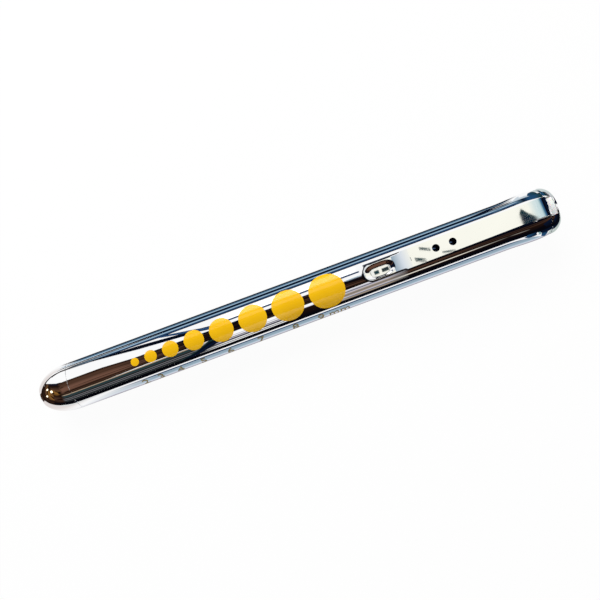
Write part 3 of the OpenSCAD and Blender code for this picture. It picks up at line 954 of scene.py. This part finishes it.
MID_TEAL = (0.30, 0.46, 0.52)
DUSK = (0.06, 0.18, 0.27)
LIGHT_SKY = (0.46, 0.59, 0.69)
FROST = (0.61, 0.69, 0.75)
HAZE = (0.45, 0.53, 0.58)
STORM = (0.19, 0.25, 0.33)
LEAD = (0.28, 0.29, 0.34)
SEA = (0.22, 0.36, 0.38)
ASH = (0.50, 0.57, 0.54)


def plain(tone):
    return [(0.0, tone), (1.0, tone)]


def evenly(*tones):
    return [(i / (len(tones) - 1), tone) for i, tone in enumerate(tones)]


def bands(*tones):
    """Stripes of one tone each, with a sharp edge between."""
    stops = []
    for i, tone in enumerate(tones):
        stops += [((i + 0.1) / len(tones), tone), ((i + 0.9) / len(tones), tone)]
    return stops


def hang_brown_band():
    overhead("brown_over_dome",
             [(-400, 95, -95), (-336, 68, -95), (-286, 50, -95), (-227, 35, -95), (-170, 28, -95)],
             evenly(NAVY, UMBER, BROWN, AMBER, UMBER, BROWN, UMBER, UMBER),
             lines=plain(UMBER), count=6, share=0.45, radius=204)
    overhead("brown_over_tail", [(-212, 28, -36), (-114, 25.5, -36), (-95, 15, -32), (-50, 12, -31)],
             evenly(UMBER, BROWN, BROWN, RUST, RUST, BROWN, UMBER), lines=plain(UMBER), count=7, share=0.35,
             ends=(0.15, 0))
    overhead("dark_to_clip", [(-105, 15, -32), (-50, 12, -31), (5, 11, -31), (25, 9, -31), (38, 1.5, -31)],
             evenly(NAVY, BLACK, UMBER, BLACK, UMBER, BLACK), lines=plain(BROWN), count=5, share=0.3,
             ends=(0.3, 0), radius=199)


def hang_near_streaks():
    overhead("streaks_by_tail", [(-212, -36, -79), (-114, -36, -79), (-46, -31, -79)],
             bands(TAN, SLATE, TEAL, SLATE, BLACK, GREY, BLACK, GREY, BLACK, SLATE, BLACK),
             ends=(0.18, 0.1))
    overhead("streaks_by_dots", [(-90, -35, -90), (72, -27, -78)],
             bands(WHITE, WHITE, WHITE, LILAC, WHITE, GREY, LILAC, BLACK, GREY, WHITE, BLACK, WHITE,
                   BLACK, BLACK), ends=(0.2, 0.12), radius=203)
    overhead("tan_by_clip", [(12, -31, -82), (62, -31, -82)],
             bands(WHITE, LILAC, GREY, LILAC, TAN, GREY, TAN, LILAC, GREY, TAN, GREY),
             ends=(0.3, 0.2), radius=201)
    overhead("dark_wedge_by_dots", [(-74, -82, -90), (-62, -60, -82), (-53, -31, -64), (-44, -31, -46)],
             evenly(TEAL, BLACK, NAVY, BLACK), ends=(0, 0.1), radius=197)
    overhead("dark_gap_by_dots", [(-3, -44, -84), (11, -44, -84)], evenly(UMBER, BLACK), radius=197)
    overhead("dark_under_clip", [(50, -31, -82), (450, -31, -82)],
             [(0.0, NAVY), (0.28, BLACK), (0.4, BROWN), (0.58, UMBER), (1.0, BLACK)],
             lines=plain(BLACK), count=7, share=0.4, ends=(0.03, 0), radius=198)
    overhead("cream_line_under_clip", [(50, -63, -69), (120, -63, -67)], evenly(TAN, CREAM, TAN),
             ends=(0.15, 0.4), radius=196)
    overhead("black_horizon", [(-450, -79, -92), (450, -79, -92)], plain(BLACK), radius=194)
    underfoot("black_floor_line", [(-350, -600, -85), (350, -600, -85)], plain(BLACK))


def hang_clip_cards():
    overhead("cream_over_clip", [(28, 9.8, 4.8), (137, 9.8, 4.8)],
             [(0.0, SKY), (0.055, SKY), (0.1, MIST), (0.15, CREAM), (0.96, CREAM), (1.0, PALE_TEAL)],
             axis="X", radius=196)
    overhead("navy_over_bend", [(137, 9.8, 4.8), (175, 30, -20), (300, 40, -31)],
             [(0.0, PALE_TEAL), (0.1, MID_TEAL), (0.3, DUSK), (0.6, BLUE), (1.0, NAVY)],
             axis="X", radius=196)
    upright("navy_before_bend", 300, (22, 54), (0, 330), evenly(NAVY, BLACK, NAVY))
    underfoot("navy_below_bend", [(78, 2, 7), (300, 22, 54)], plain(NAVY), height=0.7)
    overhead("dark_in_dish", [(20, 4.8, -33), (130, 4.8, -33)],
             evenly(NAVY, UMBER, BROWN, RUST, UMBER, UMBER, UMBER))
    overhead("navy_over_dish", [(40, 52, 10.5), (62, 52, 10.5)], evenly(NAVY, BLACK, NAVY, TEAL))
    overhead("teal_in_dish_left", [(43.3, 7.1, 6.5), (46, 7.1, 6.5)], plain(TEAL), radius=194)
    overhead("teal_in_dish_right", [(47.6, 7.1, 6.5), (51.5, 7.1, 6.5)], evenly(TEAL, SLATE, TEAL),
             radius=194)
    specks = dict(lines=plain(CREAM), share=0.35, radius=194)
    overhead("teal_speck_low", [(66, 6.9, 6.2), (71.5, 6.2, 5.5)], plain(TEAL), **specks)
    overhead("teal_speck_high", [(70, 8.2, 7.7), (75.5, 7.5, 7.0)], plain(TEAL), **specks)
    overhead("teal_speck_by_hole", [(81, 6.3, 6.0), (88, 5.9, 5.4)], plain(TEAL), **specks)
    overhead("teal_by_head", [(125.8, 7.4, 5.2), (128, 8.3, 5.2), (131, 7.2, 5.2), (136, 5.9, 5.2)],
             evenly(TEAL, NAVY, TEAL), ends=(0.1, 0.25), radius=194)


def hang_far_side():
    overhead("bright_window", [(-46, 60, 36), (36, 60, 36)], plain(WHITE), strength=3,
             ends=(0.1, 0.05), radius=206)
    overhead("navy_lines", [(-134, 77, 79), (-100, 71, 79), (-80, 67, 79), (450, 66.5, 79)],
             evenly(BLACK, NAVY, BLUE, NAVY), ends=(0.02, 0))
    overhead("steel_lines", [(-134, 79, 92), (132, 79, 92)],
             evenly(NAVY, PALE_BLUE, PALE_BLUE, STEEL, NAVY, BLACK), ends=(0.02, 0.03))
    overhead("blue_nose_side", [(116, 68, 93), (150, 66, 93), (450, 66, 93)],
             [(0.0, STEEL), (0.04, NAVY), (0.08, DEEP_BLUE), (0.15, DEEP_BLUE), (0.22, TEAL), (0.4, NAVY),
              (1.0, NAVY)], axis="X", ends=(0.02, 0), radius=198)
    overhead("tail_horizon_line", [(-230, 85, 92), (-158, 82, 90), (-134, 79.5, 88), (-100, 77, 87)],
             plain(UMBER), ends=(0, 0.25), radius=198)
    underfoot("tail_arc", [(-600, 1400, 300), (-350, 600, 170), (-200, 235, 85), (-147, 137, 55),
                           (-125, 84, 42), (-112, 56, 38)], plain(UMBER), height=0.5)
    underfoot("navy_floor_line",
              [(-95, 112, 52), (-80, 135, 50), (-62, 300, 48), (-50, 600, 46), (200, 600, 46)],
              evenly(BLACK, BLACK, NAVY))
    underfoot("steel_floor_line", [(-75, 46, 27), (60, 46, 27)], evenly(NAVY, PALE_BLUE, PALE_BLUE, STEEL),
              ends=(0.04, 0.02))
    underfoot("navy_near_line", [(-66, 27, 13), (65, 27, 13)], evenly(NAVY, STEEL, NAVY, BLACK),
              ends=(0.03, 0.02))
    underfoot("navy_far_spot", [(57, 48, 27), (66.5, 48, 27)], evenly(BLACK, NAVY), ends=(0.3, 0),
              height=0.5)
    overhead("navy_wedge", [(-118, 80, 74), (-91, 66, 47), (-65, 44, 29), (-57, 34, 24)],
             evenly(NAVY, BLACK, NAVY), radius=198)
    overhead("navy_second_wedge", [(-80, 78, 69), (-55, 38, 23), (-47, 30, 13)], evenly(NAVY, BLUE, NAVY),
             radius=198)
    overhead("navy_thin_line", [(-62, 31.5, 24.5), (37, 31.5, 24.5)], evenly(BLUE, NAVY, BLUE))


def hang_near_side():
    underfoot("blue_line", [(-62, -40, -27), (67, -40, -27)], evenly(BLUE, NAVY, BLUE), ends=(0.12, 0.02))
    underfoot("pale_blue", [(-62, -27, -12), (67, -27, -12)],
              [(0.0, SKY), (0.7, SKY), (1.0, LIGHT_SKY)], ends=(0.15, 0))
    underfoot("grey_edge", [(-66, -12, -7), (70, -12, -7)], evenly(MIST, LILAC, GREY), ends=(0.1, 0))


def hang_tail_end():
    upright("brown_tail_wall", -350, (-220, 200), (0, 206), evenly(UMBER, BROWN, AMBER, BROWN),
            lines=plain(UMBER), count=4, share=0.5)
    underfoot("dark_tail_floor", [(-450, -400, 200), (-200, -160, 86), (-118, -75, 42)], plain(UMBER),
              height=0.4)
    underfoot("dark_tail_tip", [(-122, -18, 38), (-110, -11, 17), (-104, -8, 9), (-84, -5, 4)],
              [(0.0, UMBER), (0.5, BROWN), (1.0, UMBER)], axis="X", height=0.5)
    underfoot("blush_near_tail", [(-130, -60, 0), (-62, -60, -5)], evenly(PALE_GREY, BLUSH, BLUSH),
              ends=(0, 0.2))
    underfoot("blush_far_tail", [(-130, 60, 0), (-66, 52, 6)], evenly(WHITE, BLUSH, BLUSH), ends=(0, 0.2))
    upright("tail_lamp_a", -340, (65, 97), (94, 124), plain(LAMP), strength=2.5)
    upright("tail_lamp_b", -340, (-12, 38), (170, 240), plain(LAMP), strength=2.5)
    upright("tail_lamp_c", -340, (-44, -14), (60, 90), plain(LAMP), strength=2.0)


def hang_nose_end():
    upright("dark_nose_wall", 160, (-180, -15), (0, 85), evenly(BLACK, NAVY))
    underfoot("pale_far_wedge",
              [(66.5, 19, 23), (71, 34, 42), (76, 37, 62), (104, 98, 165), (170, 235, 420)],
              evenly(FROST, HAZE, STORM), axis="X", height=0.6)
    underfoot("navy_far_wedge", [(70.2, 15, 18.8), (76.5, 24.5, 36.5), (94, 53, 77), (170, 165, 236)],
              evenly(TEAL, DEEP_BLUE), height=0.6)
    underfoot("grey_far_patch", [(69.5, 2, 14.5), (75.5, 2, 22.5), (87, 2, 38), (100, 2, 50)],
              evenly(PALE_GREY, PALE_GREY, LEAD), axis="X", height=0.6)
    underfoot("navy_near_spot", [(66.3, -27, -25), (68, -36, -24), (70, -44, -27), (74, -56, -39),
                                 (78, -68, -50), (150, -300, -235)], evenly(DEEP_BLUE, NAVY), height=0.6)
    underfoot("pale_near_wedge", [(69.5, -25, -19.5), (71.3, -28, -25), (80, -52, -42), (150, -240, -205)],
              plain(SEA), height=0.5)
    underfoot("dark_near_wedge", [(66.6, -12.5, -8.5), (69, -18.5, -12.5), (72.5, -26.5, -18.5),
                                  (77.5, -40, -18), (80, -46, -13), (82, -53, -9), (90, -80, -8),
                                  (120, -165, -5), (250, -450, 0)],
              [(0.0, DEEP_BLUE), (0.016, DEEP_BLUE), (0.035, NAVY), (0.2, BLACK), (1.0, BLACK)],
              axis="X", height=0.6)
    underfoot("grey_near_patch", [(68.5, -11, -2), (73.5, -18.5, -2), (80, -17, -2), (84, -9.5, -2)],
              plain(ASH), height=0.4)


def hang_cards():
    hang_brown_band()
    hang_near_streaks()
    hang_clip_cards()
    hang_far_side()
    hang_near_side()
    hang_tail_end()
    hang_nose_end()


KEY_AT = (-0.12, 0.45, 0.45)
KEY_SIZE = (0.5, 0.35)
KEY_WATTS = 3.6


def light_lamp():
    bpy.ops.object.light_add(type="AREA", location=KEY_AT)
    lamp = bpy.context.object
    lamp.name = "soft_key"
    lamp.data.shape = "RECTANGLE"
    lamp.data.size, lamp.data.size_y = KEY_SIZE
    lamp.data.energy = KEY_WATTS
    lamp.rotation_euler = (Vector((0, 0, 0)) - lamp.location).to_track_quat("-Z", "Y").to_euler()
    lamp.visible_glossy = False


CAMERA_TILT = 7.4
CAMERA_ROLL = -20.34
CAMERA_AWAY = 0.159
CAMERA_TARGET = (0.0013, 0.00035, AXIS_Z)
CAMERA_LENS = 38.1


def place_camera():
    tilt, roll = math.radians(CAMERA_TILT), math.radians(CAMERA_ROLL)
    target = Vector(CAMERA_TARGET)
    lens = bpy.data.cameras.new("photo_view")
    lens.lens = CAMERA_LENS
    lens.sensor_width = 36
    lens.clip_start = 0.005
    view = bpy.data.objects.new("photo_view", lens)
    bpy.context.scene.collection.objects.link(view)
    view.location = target + CAMERA_AWAY * Vector((0, -math.sin(tilt), math.cos(tilt)))
    view.rotation_euler = (Matrix.Rotation(tilt, 3, "X") @ Matrix.Rotation(roll, 3, "Z")).to_euler()
    bpy.context.scene.camera = view


lay_floor()
light_world()
hang_cards()
light_lamp()
place_camera()
bpy.context.scene.view_settings.view_transform = "Standard"
